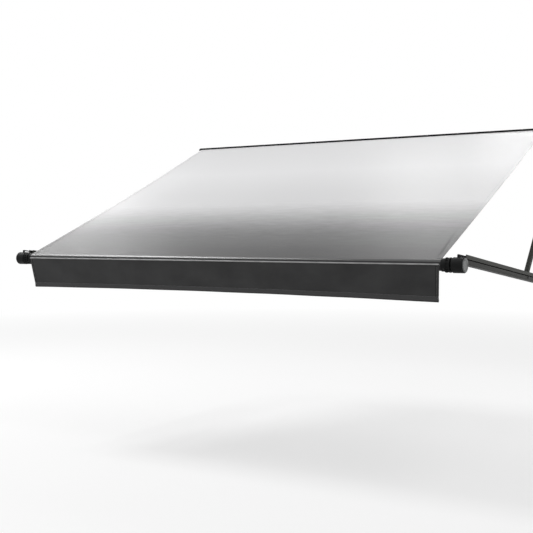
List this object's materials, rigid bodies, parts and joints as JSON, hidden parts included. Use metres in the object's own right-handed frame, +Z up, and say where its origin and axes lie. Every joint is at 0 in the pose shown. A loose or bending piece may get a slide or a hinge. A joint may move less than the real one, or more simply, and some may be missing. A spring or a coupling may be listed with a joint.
{
  "type": "roll out awning",
  "caption": "Wall mounted roll out awning: a beaded rail, a sloping canopy on a motor driven roller with a valance, and two folding side arms.",
  "frame": {"origin": "on the wall face of the rail, at the middle of its length and the height of its bead groove", "axes": "+X along the wall to the drive end, +Y into the wall, +Z up; the awning reaches out to -Y"},
  "size_m": [4.0256, 2.557, 1.3884],
  "materials": {
    "rail_black": "satin black powder coat",
    "arm_charcoal": "satin charcoal powder coat on aluminium",
    "bracket_black": "satin black",
    "head_plastic": "fine grained moulding",
    "cover_plastic": "grey grained moulding",
    "tube_black": "satin black tube",
    "canopy_vinyl": "coated vinyl, white fading to grey",
    "valance_vinyl": "charcoal coated vinyl",
    "bead_cord": "welted cord",
    "fastener_steel": "zinc plated",
    "bearing_plastic": "natural bearing plastic",
    "motor_steel": "plain steel can"
  },
  "bodies": {
    "wall_side": {"awning_rail": "rail_black", "rail_end_caps": "head_plastic", "canopy_rail_bead": "bead_cord", "canopy": "canopy_vinyl", "left_wall_channel": "arm_charcoal", "right_wall_channel": "arm_charcoal", "left_top_bracket": "bracket_black", "right_top_bracket": "bracket_black", "left_bottom_bracket": "bracket_black", "right_bottom_bracket": "bracket_black", "strut_pivot_pins": "fastener_steel", "link_pivot_pins": "fastener_steel"},
    "lower_links": {"left_lower_link": "arm_charcoal", "right_lower_link": "arm_charcoal", "left_link_wall_eye": "bracket_black", "right_link_wall_eye": "bracket_black", "left_link_elbow_eye": "bracket_black", "right_link_elbow_eye": "bracket_black", "link_bushes": "bearing_plastic"},
    "main_arms": {"left_main_arm": "arm_charcoal", "right_main_arm": "arm_charcoal", "left_head_bracket": "bracket_black", "right_head_bracket": "bracket_black", "knee_bolts": "fastener_steel", "elbow_pins": "fastener_steel", "elbow_washers": "bearing_plastic", "drive_head_housing": "head_plastic", "idler_head_housing": "head_plastic", "drive_head_cover": "cover_plastic", "idler_head_cover": "cover_plastic", "drive_bearing": "bearing_plastic", "idler_bearing": "bearing_plastic", "drive_gearbox": "motor_steel", "drive_motor": "motor_steel", "head_cover_screws": "fastener_steel", "head_clamp_screws": "fastener_steel"},
    "roller": {"roller_tube": "tube_black", "left_end_cap": "head_plastic", "right_end_cap": "head_plastic", "end_cap_screws": "fastener_steel", "drive_shaft": "fastener_steel", "idler_shaft": "fastener_steel", "canopy_wrap": "canopy_vinyl", "canopy_roller_bead": "bead_cord", "valance": "valance_vinyl", "valance_bead": "bead_cord"},
    "struts": {"left_strut": "arm_charcoal", "right_strut": "arm_charcoal", "left_strut_top_eye": "bracket_black", "right_strut_top_eye": "bracket_black", "left_strut_knee_eye": "bracket_black", "right_strut_knee_eye": "bracket_black", "strut_bushes": "bearing_plastic"}
  },
  "joints": [
    {"name": "link_swing", "type": "hinge", "parent": "wall_side", "child": "lower_links", "pos_m": [0, -0.03, -1.246], "axis": [1, 0, 0], "range_deg": [0, 88.32], "deforming": ["canopy"]},
    {"name": "elbow_fold", "type": "hinge", "parent": "lower_links", "child": "main_arms", "pos_m": [0, -0.70886, -1.26588], "axis": [1, 0, 0], "range_deg": [-171.99, 0]},
    {"name": "roller_spin", "type": "hinge", "parent": "main_arms", "child": "roller", "pos_m": [0, -2.505, -1.13], "axis": [1, 0, 0], "range_deg": [0, 3683.76], "deforming": ["valance"]},
    {"name": "strut_swing", "type": "hinge", "parent": "wall_side", "child": "struts", "pos_m": [0, -0.062, -0.287], "axis": [1, 0, 0], "range_deg": [0, 43.65]}
  ],
  "couplings": [
    {"joint": "elbow_fold", "follows": "link_swing", "ratio": -1.9472},
    {"joint": "roller_spin", "follows": "link_swing", "ratio": 41.707},
    {"joint": "strut_swing", "follows": "link_swing", "ratio": 0.49409}
  ]
}
